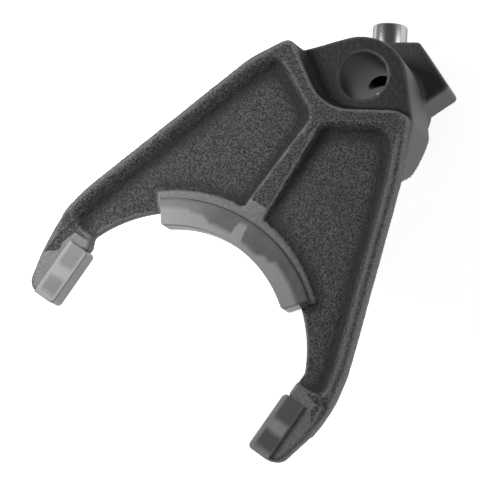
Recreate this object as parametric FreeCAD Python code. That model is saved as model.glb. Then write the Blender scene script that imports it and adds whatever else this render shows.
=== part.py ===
import FreeCAD, Part
import math
import os
from FreeCAD import Vector

# Range shift fork of a transfer case, in millimetres.
# The origin is on the rail bore's axis, in the plane of the hub's milled front face.
# +Z runs along the bore towards the front, +Y from the jaw to the hub.

# Rail bore and hub
rail_diameter = 16.0
bore_chamfer = 0.4
barrel_wall = 6.3
barrel_x = 0.6
barrel_y = -1.2
hub_length = 48.0
hub_boss_radius = 16.6
hub_boss_x = 0.3
hub_boss_y = -3.4
hub_flare_angle = 48.0
hub_edge_bevel = 0.6
knuckle_depth = 31.5
knuckle_flat_y = -1.0
knuckle_bulge = 4.0
knuckle_end_y = -21.4
recess_radius = 15.6
recess_x = -3.0
recess_y = 1.4
recess_flare_angle = 31.0
recess_foot_round = 3.3

# Heights of the levels above the hub's face
crest_height = 6.8
floor_height = 3.2
tip_top_height = 5.3
rear_floor_height = -0.9
rear_rim_height = -3.0

# Outline of the two legs in the parting plane, from the shoulder down to the tip
left_leg = [(-27.0, -3.5), (-34.1, -15.7), (-55.0, -81.0), (-57.6, -93.5), (-55.7, -108.0), (-52.8, -119.8)]
right_leg = [(22.3, -3.5), (31.5, -22.5), (53.7, -83.0), (56.4, -96.0), (55.2, -108.0), (52.5, -119.6)]
left_shoulder_round = 3.0
right_shoulder_round = 2.0
leg_bend_round = 40.0
toe_round = 18.0
tip_corner_round = 4.5
parting_height = 2.1
draft_angle = 3.0
rim_bevel = 1.2
rear_rim_bevel = 0.6

# Pockets between the rims, and the rib that parts them
rim_width = 2.3
left_rim_slope = 5.0
right_rim_slope = 3.1
left_band_slope = 2.6
right_band_slope = 3.8
rib_slope = 2.2
end_slope = 0.9
rear_slope = 1.4
wall_curve = [(0.0, 0.0), (0.25, 0.15), (0.75, 0.8), (1.0, 1.0)]
band_left_y = -21.6
band_right_y = -19.3
band_left_angle = 25.5
band_right_angle = 29.5
rib_middle_x = -2.3
rib_width_top = 2.9
rib_width_foot = 5.1
rib_start_y = -20.5
rib_foot_gap = 2.0
left_pocket_corner = 3.4
right_pocket_corner = 6.5
rib_corner = 5.0
pocket_bend_round = 15.0
nose_corner = 3.2
rear_pocket_start = 8.0
nose_y = -94.4
nose_length = 3.0
pocket_end_y = -94.6

# Jaw, round the groove of the sliding collar
jaw_distance = 111.2
groove_radius = 41.6
pad_seat_depth = 5.5
throat_inset = 0.6
left_notch_inset = 2.3
left_notch_length = 3.4
throat_round = 1.2
milled_width = 13.4
pad_boss_width = 9.4
pad_boss_x = -1.3
pad_boss_rise = 3.0
left_boss_angle = 39.6
right_boss_angle = 37.9

# Steel tongues that the pads are moulded on
core_thickness = 5.25
core_back_height = -0.5
tongue_inset = 2.4
tongue_half_angle = 16.0
lock_slot_width = 4.2
lock_slot_x = -1.2
lock_slot_depth = 7.8
tip_gap = 82.4
tip_core_inset = 2.8
tip_lock_depth = 4.0
tip_lock_y = -109.6

# Moulded pads
pad_wall = 1.25
centre_pad_width = 9.4
centre_pad_x = -0.5
centre_pad_half_angle = 37.4
tip_pad_width = 8.0
tip_pad_start_y = -99.0
tip_pad_end_wall = 1.3
pad_edge_round = 0.45
pad_corner_round = 1.6

# Lug behind the hub and the pin pressed into it
pin_diameter = 12.0
pin_shank_diameter = 12.6
pin_angle = 122.1
pin_depth = 37.2
pin_reach = 27.1
pin_inner_end = 10.2
pin_end_round = 0.9
lug_thickness = 18.2
lug_top_distance = 19.3
lug_side_angle = 67.5
lug_side_distance = 21.1
lug_end_distance = 10.8
lug_back_width = 9.5
lug_root = 4.0
lug_corner_round = 1.4
lug_edge_bevel = 0.5

# Worked out from the sizes above
bore_radius = rail_diameter / 2
barrel_radius = bore_radius + barrel_wall
jaw_centre = Vector(0, -jaw_distance, 0)
core_front_height = core_back_height + core_thickness
pad_front_height = core_front_height + pad_wall
pad_back_height = core_back_height - pad_wall
jaw_metal_radius = groove_radius + pad_seat_depth
throat_x = groove_radius + throat_inset
left_notch_x = groove_radius + left_notch_inset
milled_radius = groove_radius + milled_width
pad_boss_radius = groove_radius + pad_boss_width
centre_pad_radius = groove_radius + centre_pad_width
tongue_radius = groove_radius + tongue_inset
lock_slot_radius = groove_radius + lock_slot_depth
tip_end_y = left_leg[5][1]
draft = math.tan(math.radians(draft_angle))

# How far the cutting tools run past the metal, and how near two equal places are
overrun = 4.0
above = crest_height + overrun
below = rear_rim_height - overrun
beyond_y = tip_end_y - 3 * overrun
across = 2 * abs(left_leg[3][0])
same_place = 0.001


def point(x, y, z=0.0):
    return Vector(x, y, z)


def direction(angle):
    """Unit vector in the plan, its angle counted from +X."""
    turn = math.radians(angle)
    return Vector(math.cos(turn), math.sin(turn), 0)


def around_jaw(radius, angle):
    """Point in the plan round the jaw's centre, its angle counted from +Y to the right."""
    turn = math.radians(angle)
    return jaw_centre + Vector(radius * math.sin(turn), radius * math.cos(turn), 0)


def crossing(first, along_first, second, along_second):
    """Where two lines in the plan meet, each given by a point and a direction."""
    apart = second - first
    spread = along_first.x * along_second.y - along_first.y * along_second.x
    travel = (apart.x * along_second.y - apart.y * along_second.x) / spread
    return first + along_first * travel


def inset(corners, distances):
    """Move each side of a clockwise outline inwards by its own distance."""
    count = len(corners)
    lines = []
    for index in range(count):
        start = corners[index]
        along = (corners[(index + 1) % count] - start).normalize()
        inwards = Vector(along.y, -along.x, 0)
        lines.append((start + inwards * distances[index], along))
    moved = []
    for index in range(count):
        moved.append(crossing(*lines[index - 1], *lines[index]))
    return moved


def rounded_wire(corners, radii, height=0.0):
    """Closed outline with a tangent arc at each corner that has a radius."""
    count = len(corners)
    lift = Vector(0, 0, height)
    stretches = []
    for index in range(count):
        corner = corners[index] + lift
        back = (corners[index - 1] + lift - corner).normalize()
        ahead = (corners[(index + 1) % count] + lift - corner).normalize()
        half = back.getAngle(ahead) / 2
        reach = radii[index] / math.tan(half)
        depth = radii[index] / math.sin(half) - radii[index]
        middle = corner + (back + ahead).normalize() * depth
        stretches.append((corner + back * reach, middle, corner + ahead * reach))
    edges = []
    for index in range(count):
        start, middle, end = stretches[index]
        if radii[index] > 0:
            edges.append(Part.Arc(start, middle, end).toShape())
        following = stretches[(index + 1) % count][0]
        edges.append(Part.LineSegment(end, following).toShape())
    return Part.Wire(edges)


def prism(wire, bottom, top):
    face = Part.Face(wire)
    face.translate(Vector(0, 0, bottom))
    return face.extrude(Vector(0, 0, top - bottom))


def cylinder(radius, bottom, top, centre=Vector(0, 0, 0)):
    base = Vector(centre.x, centre.y, bottom)
    return Part.makeCylinder(radius, top - bottom, base, Vector(0, 0, 1))


def side_profile(corners, half_width):
    """Prism along X of an outline given by its y and z."""
    wire = Part.makePolygon([Vector(-half_width, y, z) for y, z in corners + corners[:1]])
    return Part.Face(wire).extrude(Vector(2 * half_width, 0, 0))


def ring_sector(inner, outer, angle_left, angle_right, bottom, top):
    """Part of a ring round the jaw's centre, between an angle to the left and one to the right."""
    middle = (angle_right - angle_left) / 2
    inner_left = around_jaw(inner, -angle_left)
    inner_right = around_jaw(inner, angle_right)
    outer_left = around_jaw(outer, -angle_left)
    outer_right = around_jaw(outer, angle_right)
    edges = [
        Part.Arc(inner_left, around_jaw(inner, middle), inner_right).toShape(),
        Part.LineSegment(inner_right, outer_right).toShape(),
        Part.Arc(outer_right, around_jaw(outer, middle), outer_left).toShape(),
        Part.LineSegment(outer_left, inner_left).toShape(),
    ]
    return prism(Part.Wire(edges), bottom, top)


def edges_at(shape, height):
    """Edges that lie wholly in one level."""
    found = []
    for edge in shape.Edges:
        box = edge.BoundBox
        if abs(box.ZMin - height) < same_place and abs(box.ZMax - height) < same_place:
            found.append(edge)
    return found


def upright_edges(shape, spots):
    """Edges along Z that stand on the given spots of the plan."""
    found = []
    for edge in shape.Edges:
        box = edge.BoundBox
        if box.ZLength < same_place or box.XLength > same_place or box.YLength > same_place:
            continue
        for spot in spots:
            if math.hypot(box.Center.x - spot.x, box.Center.y - spot.y) < same_place:
                found.append(edge)
    return found


def blank_outline(height, rim):
    """Outline of both legs at a height, drawn in by the draft on either side of the parting."""
    corners = [point(*spot) for spot in right_leg + left_leg[::-1]]
    bends = [leg_bend_round, leg_bend_round, leg_bend_round, toe_round, tip_corner_round]
    radii = [right_shoulder_round] + bends + bends[::-1] + [left_shoulder_round]
    drawn_in = draft * abs(height - parting_height) + rim
    return rounded_wire(inset(corners, [drawn_in] * len(corners)), radii, height)


def leg_slab(top):
    """Both legs as one solid slab up to a height, with bevelled rims."""
    levels = [
        blank_outline(rear_rim_height, rear_rim_bevel),
        blank_outline(rear_rim_height + rear_rim_bevel, 0.0),
        blank_outline(parting_height, 0.0),
        blank_outline(top - rim_bevel, 0.0),
        blank_outline(top, rim_bevel),
    ]
    return Part.makeLoft(levels, True, True)


def fork_blank():
    """The high legs, and the lower tips that follow past the noses of the rims."""
    tips = side_profile([(nose_y, below), (nose_y, above), (beyond_y, above), (beyond_y, below)], across)
    legs = leg_slab(crest_height).cut(tips).cut(nose_relief())
    return legs.fuse(leg_slab(tip_top_height).common(tips))


def jaw_cut():
    """The open jaw: a round throat with straight sides down to the tips."""
    right_y = -jaw_distance + math.sqrt(jaw_metal_radius ** 2 - throat_x ** 2)
    left_y = -jaw_distance + math.sqrt(jaw_metal_radius ** 2 - left_notch_x ** 2)
    right_top = point(throat_x, right_y)
    left_top = point(-left_notch_x, left_y)
    left_step = point(-throat_x, left_y - left_notch_length)
    left_foot = point(-throat_x, beyond_y)
    right_foot = point(throat_x, beyond_y)
    edges = [
        Part.Arc(left_top, around_jaw(jaw_metal_radius, 0), right_top).toShape(),
        Part.LineSegment(right_top, right_foot).toShape(),
        Part.LineSegment(right_foot, left_foot).toShape(),
        Part.LineSegment(left_foot, left_step).toShape(),
        Part.LineSegment(left_step, left_top).toShape(),
    ]
    tool = prism(Part.Wire(edges), below, above)
    return tool.makeFillet(throat_round, upright_edges(tool, [left_top, right_top, left_step]))


def pocket_outline(leg, rib_side_top, rib_side_foot, band_y, band_angle):
    """Crest outline of a front pocket, clockwise, on the side where x grows outwards."""
    foot_y = -jaw_distance + milled_radius
    rib_start = point(rib_side_top, rib_start_y)
    rib_line = (rib_start, point(rib_side_foot, foot_y) - rib_start)
    outer = [point(abs(x), y) for x, y in leg[:4]]
    sides = []
    for start, end in zip(outer, outer[1:]):
        along = (end - start).normalize()
        sides.append((start + Vector(along.y, -along.x, 0) * rim_width, along))
    band_line = (point(0, band_y), direction(band_angle))
    end_line = (point(0, pocket_end_y), direction(0))
    jaw_line = (jaw_centre, direction(0))
    return [
        crossing(*band_line, *rib_line),
        crossing(*band_line, *sides[0]),
        crossing(*sides[0], *sides[1]),
        crossing(*sides[1], *sides[2]),
        crossing(*sides[2], *end_line),
        point(throat_x - overrun, pocket_end_y),
        crossing(*jaw_line, *rib_line),
    ]


def pocket_tool(corners, slopes, radii, floor, rim, past):
    """Tapered tool for a pocket whose walls are rounded at the crest and at the foot."""
    wires = []
    for share, drop in wall_curve[::-1]:
        height = rim + (floor - rim) * drop
        wires.append(rounded_wire(inset(corners, [slope * share for slope in slopes]), radii, height))
    wires.append(rounded_wire(corners, radii, past))
    return Part.makeLoft(wires, True, True)


def pocket_pair(leg, rib_side_sign, band_y, band_angle, band_slope, rim_slope, corner_round):
    """Front and rear pocket of one leg, on the side where x grows outwards."""
    middle = rib_side_sign * rib_middle_x
    top = middle + rib_width_top / 2
    foot = middle + rib_width_foot / 2
    corners = pocket_outline(leg, top, foot, band_y, band_angle)
    slopes = [band_slope, rim_slope, rim_slope, rim_slope, end_slope, 0.0, rib_slope]
    radii = [rib_corner, corner_round, pocket_bend_round, leg_bend_round, nose_corner, 0.0, 0.0]
    front = pocket_tool(corners, slopes, radii, floor_height, crest_height, above)
    rear_line = (point(0, knuckle_end_y - rear_pocket_start), direction(0))
    rear_corners = [
        crossing(*rear_line, corners[6], corners[0] - corners[6]),
        crossing(*rear_line, corners[2], corners[3] - corners[2]),
    ] + corners[3:]
    rear_slopes = [rear_slope, rear_slope, rear_slope, rear_slope, 0.0, rear_slope]
    rear_radii = [nose_corner, nose_corner] + radii[3:]
    rear = pocket_tool(rear_corners, rear_slopes, rear_radii, rear_floor_height, rear_rim_height, below)
    return [front, rear]


def nose_relief():
    """Slope at the nose of each rim, down to the lower tip."""
    return side_profile(
        [
            (nose_y + nose_length, above),
            (nose_y + nose_length, crest_height),
            (nose_y, tip_top_height),
            (nose_y - nose_length, tip_top_height),
            (nose_y - nose_length, above),
        ],
        across,
    )


def pad_boss():
    """Island round the jaw, kept at full height in both pockets, that carries the centre pad."""
    outer = milled_radius + overrun
    sector = ring_sector(groove_radius, outer, left_boss_angle, right_boss_angle, below, above)
    round_centre = jaw_centre + point(pad_boss_x, pad_boss_rise)
    return sector.common(cylinder(pad_boss_radius, below, above, round_centre))


def rib_relief():
    """Slope of the rib's top, from the hub's frame down to the milled pad seat."""
    foot_y = -jaw_distance + milled_radius + rib_foot_gap
    profile = side_profile(
        [
            (rib_start_y, crest_height),
            (rib_start_y, above),
            (-jaw_distance, above),
            (-jaw_distance, core_front_height),
            (foot_y, core_front_height),
        ],
        rib_width_foot,
    )
    profile.translate(Vector(rib_middle_x, 0, 0))
    return profile


def milled_seats():
    """Round cuts that leave the seats of the pads flat on both faces."""
    front = cylinder(milled_radius, core_front_height, above, jaw_centre)
    back = cylinder(milled_radius, below, core_back_height, jaw_centre)
    return [front, back]


def lock_slot(reach_from, reach_to, middle, angle):
    """Round-ended slot through the steel that the moulded pad grips."""
    half = lock_slot_width / 2
    length = reach_to - half - reach_from
    slot = Part.makeBox(length, lock_slot_width, above - below, point(reach_from, -half, below))
    slot = slot.fuse(cylinder(half, below, above, point(reach_from + length, 0)))
    slot.rotate(Vector(0, 0, 0), Vector(0, 0, 1), angle)
    slot.translate(middle)
    return slot


def pad_seats():
    """Rebates at the tips where the moulded pads wrap the steel."""
    tools = []
    seat_x = tip_gap / 2 + tip_core_inset
    clip_x = tip_gap / 2 + tip_pad_width
    end_y = tip_end_y + tip_pad_end_wall
    for sign in (-1, 1):
        inner = Part.makeBox(seat_x, tip_pad_start_y - beyond_y, above - below, point(0, beyond_y, below))
        outer = Part.makeBox(clip_x, end_y - beyond_y, above - below, point(0, beyond_y, below))
        tool = inner.fuse(outer)
        slot = lock_slot(seat_x - 1.0, seat_x + tip_lock_depth, point(0, tip_lock_y), 0)
        tool = tool.fuse(slot)
        if sign < 0:
            tool = tool.mirror(Vector(0, 0, 0), Vector(1, 0, 0))
        tools.append(tool)
    return tools


def hub_block():
    """Flared front of the hub, cut behind by the rounded knuckle."""
    centre = point(hub_boss_x, hub_boss_y)
    flare = direction(-hub_flare_angle)
    outwards = direction(90 - hub_flare_angle)
    tangent_right = centre + outwards * hub_boss_radius
    tangent_left = centre + Vector(-outwards.x, outwards.y, 0) * hub_boss_radius
    shoulder_line = (point(0, right_leg[0][1]), direction(0))
    foot_right = crossing(tangent_right, flare, *shoulder_line)
    foot_left = crossing(tangent_left, Vector(-flare.x, flare.y, 0), *shoulder_line)
    low_line = (point(0, knuckle_end_y), direction(0))
    right_side = point(*right_leg[0])
    left_side = point(*left_leg[1])
    hip_right = crossing(*low_line, right_side, point(*right_leg[1]) - right_side)
    hip_left = crossing(*low_line, left_side, point(*left_leg[2]) - left_side)
    edges = [
        Part.Arc(tangent_left, centre + Vector(0, hub_boss_radius, 0), tangent_right).toShape(),
        Part.LineSegment(tangent_right, foot_right).toShape(),
        Part.LineSegment(foot_right, hip_right).toShape(),
        Part.LineSegment(hip_right, hip_left).toShape(),
        Part.LineSegment(hip_left, foot_left).toShape(),
        Part.LineSegment(foot_left, tangent_left).toShape(),
    ]
    block = prism(Part.Wire(edges), -knuckle_depth, 0)
    rim = [edge for edge in edges_at(block, 0) if edge.BoundBox.Center.y > right_leg[0][1]]
    block = block.makeChamfer(hub_edge_bevel, rim)
    return block.common(knuckle_profile())


def knuckle_profile():
    """Side view of the hub's block: deep at the bore, rounded down to the legs."""
    top_y = hub_boss_radius * 2
    start = Vector(-across, knuckle_flat_y, -knuckle_depth)
    end = Vector(-across, knuckle_end_y, rear_rim_height)
    chord = end - start
    outwards = Vector(0, chord.z, -chord.y).normalize()
    middle = (start + end) * 0.5 - outwards * knuckle_bulge
    corners = [end, Vector(-across, knuckle_end_y, above), Vector(-across, top_y, above)]
    corners.append(Vector(-across, top_y, -knuckle_depth))
    corners.append(start)
    edges = [Part.Arc(start, middle, end).toShape()]
    for first, second in zip(corners, corners[1:]):
        edges.append(Part.LineSegment(first, second).toShape())
    return Part.Face(Part.Wire(edges)).extrude(Vector(2 * across, 0, 0))


def recess_cut():
    """Milled recess round the bore that leaves the hub's front face below the frame."""
    centre = point(recess_x, recess_y)
    right = (centre + direction(recess_flare_angle - 90) * recess_radius, direction(recess_flare_angle))
    left = (centre + direction(-90 - recess_flare_angle) * recess_radius, direction(180 - recess_flare_angle))
    side_right = crossing(*right, point(across, 0), direction(90))
    side_left = crossing(*left, point(-across, 0), direction(90))
    far_right = side_right + Vector(0, across, 0)
    far_left = side_left + Vector(0, across, 0)
    edges = [
        Part.Arc(left[0], centre + Vector(0, -recess_radius, 0), right[0]).toShape(),
        Part.LineSegment(right[0], side_right).toShape(),
        Part.LineSegment(side_right, far_right).toShape(),
        Part.LineSegment(far_right, far_left).toShape(),
        Part.LineSegment(far_left, side_left).toShape(),
        Part.LineSegment(side_left, left[0]).toShape(),
    ]
    tool = prism(Part.Wire(edges), 0, above)
    foot = [edge for edge in edges_at(tool, 0) if edge.BoundBox.YMin < 0]
    return tool.makeFillet(recess_foot_round, foot)


def lug():
    """Block on the hub's side that carries the pin."""
    upwards = direction(pin_angle)
    sideways = direction(pin_angle - 90)
    side_out = direction(lug_side_angle)
    end_out = direction(lug_side_angle - 90)
    top_line = (upwards * lug_top_distance, sideways)
    side_line = (side_out * lug_side_distance, end_out)
    end_line = (end_out * lug_end_distance, side_out)
    back_line = (sideways * -lug_back_width, upwards)
    middle_line = (point(0, 0), sideways)
    corners = [
        crossing(*top_line, *back_line),
        crossing(*top_line, *side_line),
        crossing(*side_line, *end_line),
        end_out * lug_end_distance - side_out * lug_root,
        crossing(*middle_line, *back_line),
    ]
    radii = [lug_corner_round, lug_corner_round, lug_corner_round, 0.0, 0.0]
    bottom = -pin_depth - lug_thickness / 2
    top = -pin_depth + lug_thickness / 2
    block = prism(rounded_wire(corners, radii), bottom, top)
    rims = []
    for height in (bottom, top):
        for edge in edges_at(block, height):
            if edge.BoundBox.Center.y > bore_radius:
                rims.append(edge)
    return block.makeChamfer(lug_edge_bevel, rims)


def pin_body(diameter, inner, outer):
    """Solid round bar along the pin's axis, between two distances from the bore's axis."""
    upwards = direction(pin_angle)
    start = upwards * inner - Vector(0, 0, pin_depth)
    return Part.makeCylinder(diameter / 2, outer - inner, start, upwards)


def bore_tool():
    """Rail bore with a small chamfer at both mouths."""
    tool = cylinder(bore_radius, -hub_length - 1.0, 1.0)
    wide = bore_radius + bore_chamfer + 1.0
    front = Part.makeCone(bore_radius - 1.0, wide, bore_chamfer + 2.0, point(0, 0, -bore_chamfer - 1.0))
    back = Part.makeCone(wide, bore_radius - 1.0, bore_chamfer + 2.0, point(0, 0, -hub_length - 1.0))
    return tool.fuse(front).fuse(back)


def fork_casting():
    body = fork_blank()
    body = body.cut(jaw_cut())
    right = pocket_pair(
        right_leg, 1, band_right_y, band_right_angle,
        right_band_slope, right_rim_slope, right_pocket_corner,
    )
    left = pocket_pair(
        left_leg, -1, band_left_y, band_left_angle,
        left_band_slope, left_rim_slope, left_pocket_corner,
    )
    mirrored = [tool.mirror(Vector(0, 0, 0), Vector(1, 0, 0)) for tool in left]
    for tool in right + mirrored:
        body = body.cut(tool.cut(pad_boss()))
    body = body.cut(rib_relief())
    tongue = ring_sector(
        tongue_radius, jaw_metal_radius + 1.0,
        tongue_half_angle, tongue_half_angle,
        core_back_height, core_front_height,
    )
    body = body.fuse(tongue)
    for tool in milled_seats() + pad_seats():
        body = body.cut(tool)
    slot_foot = point(lock_slot_x, -jaw_distance)
    body = body.cut(lock_slot(groove_radius, lock_slot_radius, slot_foot, 90))
    body = body.cut(recess_cut())
    barrel = cylinder(barrel_radius, -hub_length, 0, point(barrel_x, barrel_y))
    body = body.fuse([hub_block(), barrel, lug()])
    body = body.cut(bore_tool())
    body = body.cut(pin_body(pin_shank_diameter, 0, pin_reach))
    return body.removeSplitter()


def centre_pad(fork):
    blank = ring_sector(
        groove_radius, centre_pad_radius,
        centre_pad_half_angle, centre_pad_half_angle,
        pad_back_height, pad_front_height,
    )
    inner_corners = [
        around_jaw(groove_radius, -centre_pad_half_angle),
        around_jaw(groove_radius, centre_pad_half_angle),
    ]
    blank = blank.makeFillet(pad_corner_round, upright_edges(blank, inner_corners))
    blank = blank.makeFillet(pad_edge_round, edges_at(blank, pad_back_height) + edges_at(blank, pad_front_height))
    blank.translate(Vector(centre_pad_x, 0, 0))
    return blank.cut(fork)


def tip_pad(sign, fork):
    length = tip_pad_start_y - tip_end_y
    height = pad_front_height - pad_back_height
    inner_x = tip_gap / 2
    blank = Part.makeBox(tip_pad_width, length, height, point(inner_x, tip_end_y, pad_back_height))
    inner_corners = [point(inner_x, tip_end_y), point(inner_x, tip_pad_start_y)]
    blank = blank.makeFillet(pad_corner_round, upright_edges(blank, inner_corners))
    blank = blank.makeFillet(pad_edge_round, edges_at(blank, pad_back_height) + edges_at(blank, pad_front_height))
    if sign < 0:
        blank = blank.mirror(Vector(0, 0, 0), Vector(1, 0, 0))
    return blank.cut(fork)


def cam_pin():
    """Shank pressed into the lug, and the ground end that stands out of it."""
    shank = pin_body(pin_shank_diameter, pin_inner_end, lug_top_distance)
    end = pin_body(pin_diameter, pin_inner_end, pin_reach)
    upwards = direction(pin_angle)
    rims = []
    for edge in end.Edges:
        along = (edge.BoundBox.Center + Vector(0, 0, pin_depth)).dot(upwards)
        if abs(along - pin_reach) < same_place:
            rims.append(edge)
    return shank.fuse(end.makeFillet(pin_end_round, rims))


os.makedirs("parts", exist_ok=True)
fork = fork_casting()
pieces = {
    "fork_casting": fork,
    "centre_pad": centre_pad(fork),
    "left_tip_pad": tip_pad(-1, fork),
    "right_tip_pad": tip_pad(1, fork),
    "cam_pin": cam_pin(),
}
for name, shape in pieces.items():
    print(name, "solids", len(shape.Solids), "volume", round(shape.Volume, 1), "valid", shape.isValid())
    shape.exportStep("parts/" + name + ".step")
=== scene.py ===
import math
import bmesh
import bpy
import numpy as np
from mathutils import Matrix, Vector, noise


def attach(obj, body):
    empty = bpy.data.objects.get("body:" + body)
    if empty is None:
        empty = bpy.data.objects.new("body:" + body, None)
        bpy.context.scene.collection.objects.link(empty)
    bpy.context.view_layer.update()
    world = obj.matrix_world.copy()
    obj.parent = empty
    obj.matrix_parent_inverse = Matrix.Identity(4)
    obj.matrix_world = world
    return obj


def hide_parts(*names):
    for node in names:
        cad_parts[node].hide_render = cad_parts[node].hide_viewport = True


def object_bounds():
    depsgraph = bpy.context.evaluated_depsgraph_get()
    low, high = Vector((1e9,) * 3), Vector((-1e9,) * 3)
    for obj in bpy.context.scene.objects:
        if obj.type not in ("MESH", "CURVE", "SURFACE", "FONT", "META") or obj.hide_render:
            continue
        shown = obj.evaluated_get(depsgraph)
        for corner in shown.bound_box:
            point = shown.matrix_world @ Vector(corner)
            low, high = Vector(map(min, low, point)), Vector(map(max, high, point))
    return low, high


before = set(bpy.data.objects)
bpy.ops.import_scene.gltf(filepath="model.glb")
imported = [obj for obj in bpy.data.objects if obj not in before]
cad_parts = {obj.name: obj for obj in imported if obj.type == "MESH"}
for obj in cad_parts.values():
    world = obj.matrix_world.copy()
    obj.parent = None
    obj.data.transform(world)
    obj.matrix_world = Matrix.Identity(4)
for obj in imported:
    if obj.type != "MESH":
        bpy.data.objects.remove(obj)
cad_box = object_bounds()

# The fork casting: hub, knuckle, legs, ribs and lug poured together in steel, in a sand mould.
# The dark skin keeps the grain of the sand. The jaw and the tips are milled bright, front and
# back, the hub's face is cut flat and stays dark, and the rail bore is reamed.

MM = 0.001
skin_voxel = 0.6 * MM
weld_gap = 0.002 * MM
near_rounds = 5
far_rounds = 45
bore_radius = 8.0 * MM
hub_back = -48.0 * MM
hub_face_end = -20.0 * MM
seat_front = 4.75 * MM
seat_back = -0.5 * MM
seats_start = -50.0 * MM
jaw_y = -111.2 * MM
jaw_wall_radius = 47.6 * MM
tip_wall_x = 44.6 * MM
tips_start = -95.0 * MM
smooth_below = -6.0 * MM
on_face = 0.34 * MM
swell_size = 6.0 * MM
swell_height = 0.07 * MM
lump_size = 1.7 * MM
lump_height = 0.05 * MM

# Angle from the fork's axis, left to right, and the reach of the milling round the jaw in mm.
milled_edge = [
    (-90, 55.6), (-86, 55.1), (-84, 53.3), (-82, 51.4), (-79, 52.4), (-76, 52.2), (-73, 51.9), (-72, 48.5),
    (-70, 46.0), (-60, 44.0), (-40, 54.5), (-8, 54.5), (-6, 57.6), (1, 57.6), (3, 54.5), (42, 54.5),
    (60, 44.0), (68, 45.9), (70, 48.2), (72, 50.9), (74, 53.9), (77, 53.2), (81, 54.9), (92, 55.8),
]


def grey(level, warmth=0.0):
    """Colour of a grey of 0 to 255 as it looks on a screen."""
    share = level / 255
    share = share / 12.92 if share <= 0.04045 else ((share + 0.055) / 1.055) ** 2.4
    return (share * (1 + warmth), share, share * (1 - warmth), 1.0)


cast_pit = grey(16)
cast_grain = grey(108)
cast_cloud = grey(40)
# Painted shade for the hollows and the foot of walls.
corner_painted_shade = grey(14)
# Painted highlight on the crests, partly wear.
edge_wear_and_highlight = grey(124)
hub_pit = grey(16)
hub_grain = grey(34)
# Smoother grey of the skin behind the hub face, raised as painted light against the hub's shadow.
rear_pit_painted_light = grey(50)
rear_grain_painted_light = grey(68)
# The same painted highlight, partly wear, for the crests of the hub face and the rear skin.
barrel_wear_and_highlight = grey(96)
reamed_steel = grey(96)
milled_dark = grey(96)
milled_light = grey(122)

# Grain sizes in mm.
sand_size = 0.56
pebble_size = 1.3
cloud_size = 14.0
ragged_size = 1.5


def add_node(tree, kind, **settings):
    node = tree.nodes.new(kind)
    for name, value in settings.items():
        setattr(node, name, value)
    return node


def feed(tree, socket, value):
    """Joins another node's output to a socket, or sets the socket to a plain value."""
    if hasattr(value, "is_output"):
        tree.links.new(value, socket)
    else:
        socket.default_value = value


def calculate(tree, operation, first, second=0.0, third=0.0):
    node = add_node(tree, "ShaderNodeMath", operation=operation)
    for socket, value in zip(node.inputs, (first, second, third)):
        feed(tree, socket, value)
    return node.outputs[0]


def product(tree, *factors):
    result = factors[0]
    for factor in factors[1:]:
        result = calculate(tree, "MULTIPLY", result, factor)
    return result


def total(tree, *parts):
    result = parts[0]
    for part in parts[1:]:
        result = calculate(tree, "ADD", result, part)
    return result


def scaled(tree, value, factor, offset):
    return calculate(tree, "MULTIPLY_ADD", value, factor, offset)


def length(tree, first, second):
    """Length of the line whose two legs are given."""
    return calculate(tree, "SQRT", total(tree, product(tree, first, first), product(tree, second, second)))


def ramp(tree, value, low, high):
    """Straight rise from 0 at low to 1 at high."""
    node = add_node(tree, "ShaderNodeMapRange", clamp=True)
    feed(tree, node.inputs["Value"], value)
    node.inputs["From Min"].default_value = low
    node.inputs["From Max"].default_value = high
    return node.outputs["Result"]


def blend(tree, factor, first, second):
    node = add_node(tree, "ShaderNodeMix", data_type="RGBA")
    for socket, value in zip((node.inputs[0], node.inputs[6], node.inputs[7]), (factor, first, second)):
        feed(tree, socket, value)
    return node.outputs[2]


def place_in_mm(tree):
    """Place on the piece in millimetres: the vector and its three numbers."""
    place = add_node(tree, "ShaderNodeTexCoord")
    scale = add_node(tree, "ShaderNodeMapping")
    scale.inputs["Scale"].default_value = (1 / MM, 1 / MM, 1 / MM)
    tree.links.new(place.outputs["Object"], scale.inputs["Vector"])
    split = add_node(tree, "ShaderNodeSeparateXYZ")
    tree.links.new(scale.outputs[0], split.inputs[0])
    return scale.outputs[0], split.outputs[0], split.outputs[1], split.outputs[2]


def grains(tree, place, size, detail=2.0, roughness=0.5):
    """Noise from 0 to 1 whose grains are about the given size in millimetres."""
    node = add_node(tree, "ShaderNodeTexNoise")
    tree.links.new(place, node.inputs["Vector"])
    node.inputs["Scale"].default_value = 1 / size
    node.inputs["Detail"].default_value = detail
    node.inputs["Roughness"].default_value = roughness
    return node.outputs["Fac"]


def roughen(tree, shader, height, depth, strength):
    """Relief of the given depth in metres, from a height of 0 to 1."""
    bump = add_node(tree, "ShaderNodeBump")
    bump.inputs["Strength"].default_value = strength
    bump.inputs["Distance"].default_value = depth
    tree.links.new(height, bump.inputs["Height"])
    tree.links.new(bump.outputs[0], shader.inputs["Normal"])


def new_material(name, roughness):
    material = bpy.data.materials.new(name)
    material.use_nodes = True
    shader = material.node_tree.nodes["Principled BSDF"]
    shader.inputs["Roughness"].default_value = roughness
    return material, material.node_tree, shader


def add_piece(name, mesh):
    piece = bpy.data.objects.new(name, mesh)
    bpy.context.collection.objects.link(piece)
    return piece


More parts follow.
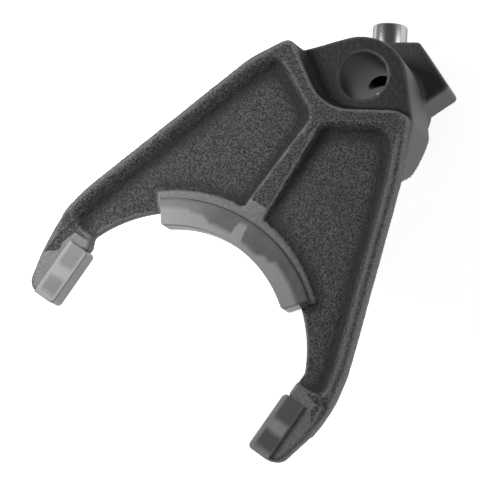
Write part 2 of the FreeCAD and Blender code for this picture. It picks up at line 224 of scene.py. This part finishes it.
def cast_skin():
    """The casting's solid with its edges softened as sand moulds leave them."""
    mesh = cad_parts["fork_casting"].data.copy()
    piece = add_piece("fork_body", mesh)
    work = bmesh.new()
    work.from_mesh(mesh)
    bmesh.ops.remove_doubles(work, verts=work.verts, dist=weld_gap)
    work.to_mesh(mesh)
    work.free()
    remesh = piece.modifiers.new("skin", "REMESH")
    remesh.mode = "VOXEL"
    remesh.voxel_size = skin_voxel
    soften = piece.modifiers.new("soften", "SMOOTH")
    soften.factor = 0.5
    soften.iterations = 3
    evaluated = piece.evaluated_get(bpy.context.evaluated_depsgraph_get())
    skin = bpy.data.meshes.new_from_object(evaluated)
    piece.modifiers.clear()
    piece.data = skin
    return piece


def read_vectors(collection, name):
    values = np.empty(len(collection) * 3)
    collection.foreach_get(name, values)
    return values.reshape(-1, 3)


def neighbour_mean(spots, pairs, rounds):
    """Each spot drawn to the middle of its neighbours, a number of times over."""
    count = len(spots)
    ends = np.concatenate([pairs[:, 0], pairs[:, 1]])
    others = np.concatenate([pairs[:, 1], pairs[:, 0]])
    share = 1 / np.bincount(ends, minlength=count)
    for _ in range(rounds):
        sums = [np.bincount(ends, weights=spots[others, axis], minlength=count) for axis in range(3)]
        spots = np.stack(sums, axis=1) * share[:, None]
    return spots


def finish_skin(piece):
    """Uneven sand-cast skin; the machined faces and the bore stay true."""
    mesh = piece.data
    spots = read_vectors(mesh.vertices, "co")
    facing = read_vectors(mesh.vertices, "normal")
    pairs = np.empty(len(mesh.edges) * 2, dtype=np.int64)
    mesh.edges.foreach_get("vertices", pairs)
    pairs = pairs.reshape(-1, 2)
    # The crest measure drives a painted highlight on the crests, partly wear.
    drawn_in = neighbour_mean(spots, pairs, near_rounds)
    crest = ((spots - drawn_in) * facing).sum(axis=1) / MM
    # The hollow measure drives the painted shade in the hollows.
    drawn_far = neighbour_mean(drawn_in, pairs, far_rounds)
    hollow = ((drawn_far - drawn_in) * facing).sum(axis=1) / MM

    x, y, z = spots.T
    from_bore = np.hypot(x, y)
    from_jaw = np.hypot(x, y - jaw_y)
    angle = np.degrees(np.arctan2(x, y - jaw_y))
    on_bore = (np.abs(from_bore - bore_radius) < on_face) & (z > hub_back) & (z < 0)
    on_hub = (np.abs(z) < on_face) & (facing[:, 2] > 0.9) & (y > hub_face_end)
    level_front = (np.abs(z - seat_front) < on_face) & (facing[:, 2] > 0.85) & (y < seats_start)
    level_back = (np.abs(z - seat_back) < on_face) & (facing[:, 2] < -0.85) & (y < seats_start)
    past_edge = (np.interp(angle, *zip(*milled_edge)) * MM - from_jaw) / MM
    milled = np.where(level_front | level_back, np.clip(past_edge, -1, 1), -1.0)
    in_jaw = (from_jaw < jaw_wall_radius) | ((np.abs(x) < tip_wall_x) & (y < tips_start))
    calm = on_bore | on_hub | (milled > 0) | in_jaw | (z < smooth_below)
    for index in np.flatnonzero(~calm):
        spot = Vector(spots[index])
        swell = noise.fractal(spot / swell_size, 0.6, 2.0, 2)
        lumps = noise.fractal(spot / lump_size + Vector((7.0, 3.0, 1.0)), 0.6, 2.0, 2)
        spots[index] += facing[index] * (swell * swell_height + lumps * lump_height)

    spots[on_bore, :2] *= (bore_radius / from_bore[on_bore])[:, None]
    spots[on_hub, 2] = 0
    spots[level_front & (milled > 0), 2] = seat_front
    spots[level_back & (milled > 0), 2] = seat_back
    spots = np.clip(spots, *(np.array(corner) for corner in cad_box))
    mesh.vertices.foreach_set("co", spots.ravel())
    for name, values in (("crest", crest), ("hollow", hollow), ("milled", milled)):
        layer = mesh.attributes.new(name, "FLOAT", "POINT")
        layer.data.foreach_set("value", values.astype(np.float32))
    mesh.shade_smooth()
    mesh.update()


def cast_steel():
    """Dark cast skin, with clean bright steel where the cutter has been. Lengths are in mm."""
    material, tree, shader = new_material("cast_steel", 0.5)
    place, x, y, z = place_in_mm(tree)
    crest, hollow, milled = (
        add_node(tree, "ShaderNodeAttribute", attribute_name=name).outputs["Fac"]
        for name in ("crest", "hollow", "milled")
    )
    fine = grains(tree, place, sand_size, 3.0, 0.65)
    coarse = grains(tree, place, pebble_size, 1.0, 0.5)
    clouds = grains(tree, place, cloud_size, 3.0, 0.6)
    ragged = grains(tree, place, ragged_size, 4.0, 0.75)

    speckle = ramp(tree, fine, 0.42, 0.64)
    skin = blend(tree, speckle, cast_pit, cast_grain)
    skin = blend(tree, product(tree, ramp(tree, clouds, 0.4, 0.7), 0.25), skin, cast_cloud)
    # Painted shade: the skin turns near black in hollows and at the foot of walls.
    skin = blend(tree, product(tree, ramp(tree, hollow, 0.04, 0.4), 0.8), skin, corner_painted_shade)
    # Painted highlight, partly wear: the crests of the skin turn pale.
    crest_wear_and_highlight = ramp(tree, total(tree, crest, scaled(tree, fine, 0.3, -0.15)), 0.08, 0.18)
    skin = blend(tree, product(tree, crest_wear_and_highlight, 0.75), skin, edge_wear_and_highlight)

    hub_face = product(tree, ramp(tree, z, 0.6, 0.2), ramp(tree, y, -15.0, -14.0))
    behind = ramp(tree, z, -1.0, -5.0)
    smoother = calculate(tree, "MAXIMUM", hub_face, behind)
    dull = blend(tree, speckle, hub_pit, hub_grain)
    # From 1 to 5 mm behind the hub's face the skin turns to a smoother grey, raised as painted light against
    # the hub's shadow on the lug and barrel.
    dull = blend(tree, behind, dull, blend(tree, speckle, rear_pit_painted_light, rear_grain_painted_light))
    # The same painted highlight, partly wear, on the crests of the hub face and the rear skin.
    dull = blend(tree, product(tree, crest_wear_and_highlight, 0.5), dull, barrel_wear_and_highlight)
    colour = blend(tree, smoother, skin, dull)

    reamed = product(tree, ramp(tree, length(tree, x, y), 8.25, 8.1), ramp(tree, z, 0.2, -0.3))
    colour = blend(tree, reamed, colour, reamed_steel)

    cut = ramp(tree, total(tree, milled, scaled(tree, ragged, 1.8, -0.9)), -0.05, 0.12)
    colour = blend(tree, cut, colour, blend(tree, speckle, milled_dark, milled_light))
    tree.links.new(colour, shader.inputs["Base Color"])
    tree.links.new(product(tree, reamed, 0.6), shader.inputs["Metallic"])

    clean = calculate(tree, "MAXIMUM", product(tree, smoother, 0.8), cut)
    clean = calculate(tree, "MAXIMUM", clean, reamed)
    relief = total(tree, product(tree, fine, 0.6), product(tree, coarse, 0.5))
    roughen(tree, shader, product(tree, relief, scaled(tree, clean, -0.9, 1.0)), 1.0 * MM, 1.0)
    return material


fork_body = cast_skin()
finish_skin(fork_body)
fork_body.data.materials.clear()
fork_body.data.materials.append(cast_steel())
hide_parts("fork_casting")
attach(fork_body, "root")

# The pads: cloudy nylon moulded straight on to the steel tongues of the jaw and the tips.
# The dark steel shows through wherever the plastic over it is thin, and it looks paler over
# the slots that the plastic fills and beyond the steel's edge.

nylon_pale = grey(148, 0.008)
nylon_cloud = grey(130, 0.008)
nylon_over_steel = grey(78, 0.012)

# Places and grain sizes in mm, as the materials read them.
centre_pad_x = -0.5
tip_slot_y = -109.4
mottle_size = 4.0
ripple_size = 0.8
patch_size = 5.0

# Angle from the fork's axis, left to right, and the radius of the steel's inner edge in mm.
angle_limit = 40.0
reach_start = 40.0
reach_span = 12.0
steel_edge = [
    (-37.4, 47.8), (-31, 47.6), (-25.5, 47.4), (-24.5, 46.5), (-19, 46.3), (-15.5, 44.4), (-4.9, 44.2),
    (-4.1, 48.8), (-0.6, 49.2), (0.7, 43.8), (9.5, 43.6), (13, 45.4), (16, 45.2), (18, 46.9), (37.4, 46.9),
]


def finish_nylon(tree, shader, place, z, steel):
    """Colour of the nylon, from a mask that says where the steel lies close below the front."""
    steel = product(tree, steel, ramp(tree, z, 2.6, 5.6))
    pale = blend(tree, grains(tree, place, mottle_size), nylon_pale, nylon_cloud)
    tree.links.new(blend(tree, steel, pale, nylon_over_steel), shader.inputs["Base Color"])
    roughen(tree, shader, grains(tree, place, ripple_size), 0.1 * MM, 0.15)


def steel_edge_curve(tree, angle):
    """Radius of the steel's inner edge at an angle."""
    node = add_node(tree, "ShaderNodeFloatCurve")
    curve = node.mapping.curves[0]
    for index, (turn, reach) in enumerate(steel_edge):
        spot = ((turn + angle_limit) / (2 * angle_limit), (reach - reach_start) / reach_span)
        if index < 2:
            curve.points[index].location = spot
        else:
            curve.points.new(*spot)
    for bend in curve.points:
        bend.handle_type = "VECTOR"
    node.mapping.update()
    tree.links.new(ramp(tree, angle, -angle_limit, angle_limit), node.inputs["Value"])
    return scaled(tree, node.outputs[0], reach_span, reach_start)


def centre_pad_nylon():
    """Steel seen through the centre pad, out from a wandering line round the jaw."""
    material, tree, shader = new_material("centre_pad_nylon", 0.38)
    place, x, y, z = place_in_mm(tree)
    across = calculate(tree, "SUBTRACT", x, centre_pad_x)
    along = calculate(tree, "SUBTRACT", y, jaw_y / MM)
    radius = length(tree, across, along)
    angle = product(tree, calculate(tree, "ARCTAN2", across, along), 180 / math.pi)
    wander = scaled(tree, grains(tree, place, 2.2, 3.0, 0.7), 1.6, -0.8)
    edge = steel_edge_curve(tree, total(tree, angle, wander))
    past = calculate(tree, "SUBTRACT", total(tree, radius, product(tree, wander, 0.5)), edge)
    outer_band = ramp(tree, radius, 49.0, 50.2)
    depth = calculate(tree, "MAXIMUM", scaled(tree, ramp(tree, angle, -24.0, -14.0), 0.25, 0.72), outer_band)
    patches = scaled(tree, grains(tree, place, patch_size), 0.4, 0.78)
    finish_nylon(tree, shader, place, z, product(tree, ramp(tree, past, -0.8, 0.8), depth, patches))
    return material


def tip_pad_nylon(name, side, inner, outer, depth):
    """Steel seen through a tip pad, with a paler window over the slot across it."""
    material, tree, shader = new_material(name, 0.38)
    place, x, y, z = place_in_mm(tree)
    outwards = product(tree, x, side)
    wander = scaled(tree, grains(tree, place, 3.0), 2.0, -1.0)
    from_slot = calculate(tree, "ABSOLUTE", total(tree, y, -tip_slot_y, wander))
    steel = product(
        tree, ramp(tree, from_slot, 1.2, 3.0), ramp(tree, outwards, inner, inner + 1.0),
        ramp(tree, outwards, outer, outer - 0.8), ramp(tree, y, -118.8, -116.6), depth,
    )
    finish_nylon(tree, shader, place, z, steel)
    return material


def dress(node, material):
    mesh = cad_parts[node].data
    mesh.materials.clear()
    mesh.materials.append(material)


dress("centre_pad", centre_pad_nylon())
dress("left_tip_pad", tip_pad_nylon("left_pad_nylon", -1, 41.8, 48.2, 0.72))
dress("right_tip_pad", tip_pad_nylon("right_pad_nylon", 1, 42.4, 49.4, 0.95))

# The cam pin: a hardened steel pin, ground and polished, pressed into the lug behind the hub.
# Its shank fills the lug; the slimmer end stands out and runs in the slot of the cam.

pin_angle = math.radians(122.1)
pin_axis = Vector((math.cos(pin_angle), math.sin(pin_angle), 0))
pin_height = -37.2 * MM
pin_start = 10.2 * MM
lug_face = 19.3 * MM
pin_end = 27.1 * MM
pin_radius = 6.0 * MM
shank_radius = 6.3 * MM
pin_round = 0.9 * MM
pin_steps = 96
ground_dark = grey(166)
ground_light = grey(190)


def polished_pin():
    """The pin's outline from its inner end to its outer end, turned round its axis."""
    work = bmesh.new()
    outline = [
        (0, pin_start), (shank_radius, pin_start), (shank_radius, lug_face),
        (pin_radius, lug_face), (pin_radius, pin_end), (0, pin_end),
    ]
    corners = [work.verts.new((radius, 0, along)) for radius, along in outline]
    for pair in zip(corners, corners[1:]):
        work.edges.new(pair)
    bmesh.ops.bevel(
        work, geom=[corners[4]], offset=pin_round, affect="VERTICES", segments=5, profile=0.5, material=-1,
    )
    bmesh.ops.spin(
        work, geom=work.verts[:] + work.edges[:], cent=(0, 0, 0), axis=(0, 0, 1), angle=2 * math.pi,
        steps=pin_steps, use_merge=True,
    )
    bmesh.ops.remove_doubles(work, verts=work.verts, dist=0.001 * MM)
    bmesh.ops.recalc_face_normals(work, faces=work.faces)
    turn = pin_axis.to_track_quat("Z", "Y").to_matrix().to_4x4()
    bmesh.ops.transform(work, matrix=Matrix.Translation((0, 0, pin_height)) @ turn, verts=work.verts)
    mesh = bpy.data.meshes.new("polished_pin")
    work.to_mesh(mesh)
    work.free()
    mesh.shade_smooth()
    mesh.set_sharp_from_angle(angle=math.radians(40))
    return add_piece("polished_pin", mesh)


def ground_steel():
    """Polished steel with the fine rings of the grinding wheel."""
    material, tree, shader = new_material("ground_steel", 0.16)
    shader.inputs["Metallic"].default_value = 1.0
    shader.inputs["Specular Tint"].default_value = (0.4, 0.4, 0.4, 1.0)
    _, x, y, _ = place_in_mm(tree)
    along = total(tree, product(tree, x, pin_axis.x), product(tree, y, pin_axis.y))
    rings = add_node(tree, "ShaderNodeTexNoise", noise_dimensions="1D")
    tree.links.new(along, rings.inputs["W"])
    rings.inputs["Scale"].default_value = 9.0
    rings.inputs["Detail"].default_value = 3.0
    tree.links.new(blend(tree, rings.outputs["Fac"], ground_dark, ground_light), shader.inputs["Base Color"])
    tree.links.new(scaled(tree, rings.outputs["Fac"], 0.1, 0.16), shader.inputs["Roughness"])
    return material


pin = polished_pin()
pin.data.materials.append(ground_steel())
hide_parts("cam_pin")
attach(pin, "root")

# The studio: a white paper floor just below the end of the hub, a plain sky that dims
# overhead, a small soft lamp close by on the left and a larger one farther off at the right.

floor_level = -48.4 * MM
floor_size = 3.0
paper_white = 0.8
paper_glow = 0.8
fork_middle = Vector((0, -0.055, 0))
sky_low = 0.36
sky_drop = 0.25


def paper_floor():
    """Paper that takes the fork's shadow and looks white to the eye and in the metal."""
    work = bmesh.new()
    bmesh.ops.create_grid(work, x_segments=1, y_segments=1, size=floor_size)
    bmesh.ops.translate(work, verts=work.verts, vec=(0, 0, floor_level))
    mesh = bpy.data.meshes.new("paper_floor")
    work.to_mesh(mesh)
    work.free()
    material, tree, shader = new_material("white_paper", 0.9)
    shader.inputs["Base Color"].default_value = (paper_white, paper_white, paper_white, 1)
    path = add_node(tree, "ShaderNodeLightPath")
    seen = calculate(tree, "MAXIMUM", path.outputs["Is Camera Ray"], path.outputs["Is Glossy Ray"])
    seen = calculate(tree, "MAXIMUM", seen, path.outputs["Is Transmission Ray"])
    glow = add_node(tree, "ShaderNodeEmission")
    tree.links.new(product(tree, seen, paper_glow), glow.inputs["Strength"])
    both = add_node(tree, "ShaderNodeAddShader")
    tree.links.new(shader.outputs[0], both.inputs[0])
    tree.links.new(glow.outputs[0], both.inputs[1])
    tree.links.new(both.outputs[0], tree.nodes["Material Output"].inputs["Surface"])
    mesh.materials.append(material)
    return add_piece("paper_floor", mesh)


def plain_sky():
    world = bpy.data.worlds.new("studio")
    bpy.context.scene.world = world
    world.use_nodes = True
    tree = world.node_tree
    heading = add_node(tree, "ShaderNodeTexCoord")
    split = add_node(tree, "ShaderNodeSeparateXYZ")
    tree.links.new(heading.outputs["Generated"], split.inputs[0])
    overhead = ramp(tree, split.outputs[2], 0.45, 0.8)
    background = tree.nodes["Background"]
    tree.links.new(scaled(tree, overhead, -sky_drop, sky_low), background.inputs["Strength"])
    background.inputs["Color"].default_value = (1, 1, 1, 1)


def soft_lamp(name, place, size, power):
    """A square lamp turned to the middle of the fork."""
    lamp = bpy.data.lights.new(name, "AREA")
    lamp.shape = "SQUARE"
    lamp.size = size
    lamp.energy = power
    holder = add_piece(name, lamp)
    holder.location = place
    holder.rotation_euler = (fork_middle - Vector(place)).to_track_quat("-Z", "Y").to_euler()


paper_floor()
plain_sky()
soft_lamp("lamp_left", (-0.15, -0.08, 0.15), 0.12, 0.43)
soft_lamp("lamp_right", (0.42, 0.33, 0.16), 0.3, 0.65)

# The camera: it stands where the photograph was taken from, above the fork and to its right.
# Half the picture's width and the lens's distance from it, both in pixels, give its angle.

half_width = 240
lens_distance = 2454
camera_turn = (11.3107, 14.8912, 36.2979)

lens = bpy.data.cameras.new("camera")
lens.sensor_fit = "HORIZONTAL"
lens.angle = 2 * math.atan(half_width / lens_distance)
camera = add_piece("camera", lens)
camera.location = (0.25389, -0.0742, 0.76072)
camera.rotation_euler = [math.radians(turn) for turn in camera_turn]
bpy.context.scene.camera = camera
bpy.context.scene.view_settings.view_transform = "Standard"
